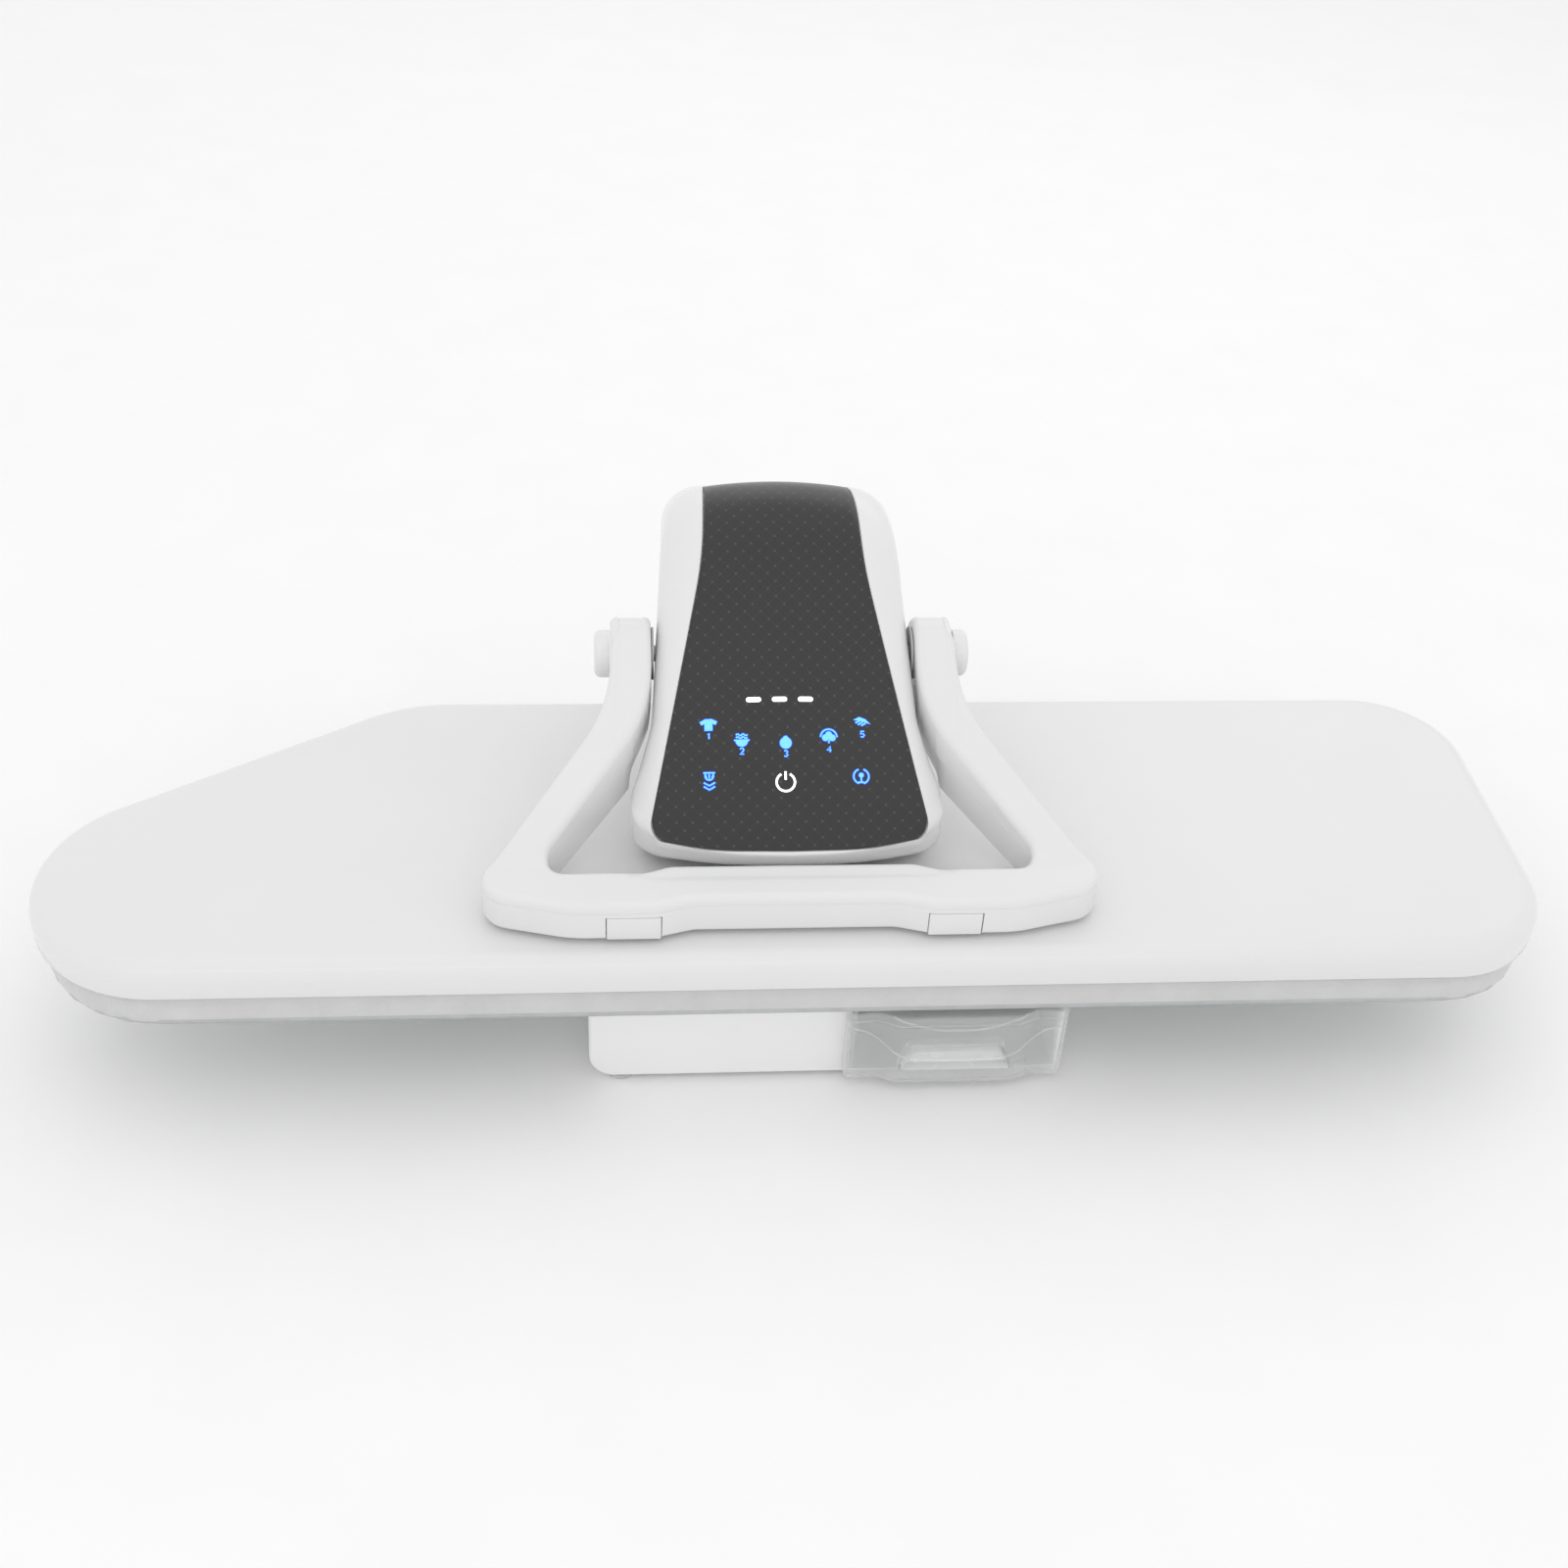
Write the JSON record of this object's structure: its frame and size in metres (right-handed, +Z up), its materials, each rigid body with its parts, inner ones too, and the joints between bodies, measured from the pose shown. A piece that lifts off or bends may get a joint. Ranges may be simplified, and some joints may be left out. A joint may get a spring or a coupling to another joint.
{
  "type": "steam ironing press",
  "caption": "Table-top steam press with a long padded board, a hinged head with touch lens, a loop handle with steam buttons and a pull-out water tank.",
  "frame": {"origin": "centre of the bounding box at the level the feet stand on", "axes": "+X to the right along the board, +Y to the back where the hinge is, +Z up"},
  "size_m": [0.9, 0.362, 0.2766],
  "materials": {
    "white_gloss": "glossy white moulding",
    "white_satin": "satin white moulding",
    "dark_lens": "smoked touch lens",
    "clear_tank": "clear moulding",
    "silver_cloth": "light grey cloth",
    "foam": "open foam",
    "felt": "heat felt",
    "aluminium": "machined",
    "steel": "pressed steel",
    "brass": "turned",
    "rubber": "matt",
    "silicone": "soft hose",
    "black_plastic": "plain",
    "circuit_board": "coated board"
  },
  "bodies": {
    "stand": {"base_housing": "white_satin", "base_floor_plate": "white_satin", "floor_screw_front": "steel", "floor_screw_back": "steel", "floor_screw_right": "steel", "foot_front_left": "rubber", "foot_front_right": "rubber", "foot_back_left": "rubber", "foot_back_right": "rubber", "cord_gland": "rubber", "water_pump": "black_plastic", "pump_cradle": "rubber", "power_board": "circuit_board", "dock_valve": "silicone", "suction_hose": "silicone", "feed_hose": "silicone", "column_housing": "white_gloss", "column_frame": "steel", "hinge_bush_left": "brass", "hinge_bush_right": "brass", "hinge_cap_left": "white_satin", "hinge_cap_right": "white_satin", "board_pan": "steel", "board_foam_pad": "foam", "board_cloth_cover": "silver_cloth"},
    "press_arm": {"hinge_shaft": "steel", "head_spring": "steel", "press_cover": "white_gloss", "hot_plate": "aluminium", "heating_bar": "steel", "thermostat": "black_plastic", "steam_chamber_left": "steel", "steam_chamber_right": "steel", "heat_blanket": "felt", "plate_post": "aluminium", "swivel_pin": "steel", "arm_frame": "steel", "arm_upper_shell": "white_gloss", "arm_lower_tray": "white_satin", "arm_rear_cover": "white_gloss", "touch_lens": "dark_lens", "control_board": "circuit_board", "display_module": "black_plastic", "speaker": "black_plastic", "handle_shaft": "steel", "pivot_washer_left": "silicone", "pivot_washer_right": "silicone", "steam_hose": "silicone"},
    "handle": {"handle_lower_shell": "white_gloss", "handle_upper_shell": "white_gloss", "pivot_cap_left": "white_gloss", "pivot_cap_right": "white_gloss", "steam_switch_left": "black_plastic", "steam_switch_right": "black_plastic"},
    "left_button": {"steam_button_left": "white_gloss"},
    "right_button": {"steam_button_right": "white_gloss"},
    "water_tank": {"tank_tub": "clear_tank", "tank_lid": "clear_tank", "tank_valve": "silicone"},
    "tank_cap": {"filler_cap": "white_satin"}
  },
  "joints": [
    {"name": "press_hinge", "type": "hinge", "parent": "stand", "child": "press_arm", "pos_m": [-0.0093, 0.131, 0.1349], "axis": [-1, 0, 0], "range_deg": [0, 35]},
    {"name": "handle_pivot", "type": "hinge", "parent": "press_arm", "child": "handle", "pos_m": [-0.0093, -0.001, 0.2025], "axis": [-1, 0, 0], "range_deg": [0, 65]},
    {"name": "steam_button_left", "type": "slide", "parent": "handle", "child": "left_button", "axis": [0, 1, 0], "range_m": [0, 0.0025], "stiffness_N_per_m": 800},
    {"name": "steam_button_right", "type": "slide", "parent": "handle", "child": "right_button", "axis": [0, 1, 0], "range_m": [0, 0.0025], "stiffness_N_per_m": 800},
    {"name": "tank_slide", "type": "slide", "parent": "stand", "child": "water_tank", "axis": [0, -1, 0], "range_m": [0, 0.17]},
    {"name": "filler_cap_turn", "type": "hinge", "parent": "water_tank", "child": "tank_cap", "pos_m": [0.0915, -0.1223, 0.0611], "axis": [0, 0, 1], "range_deg": [0, 90]}
  ]
}
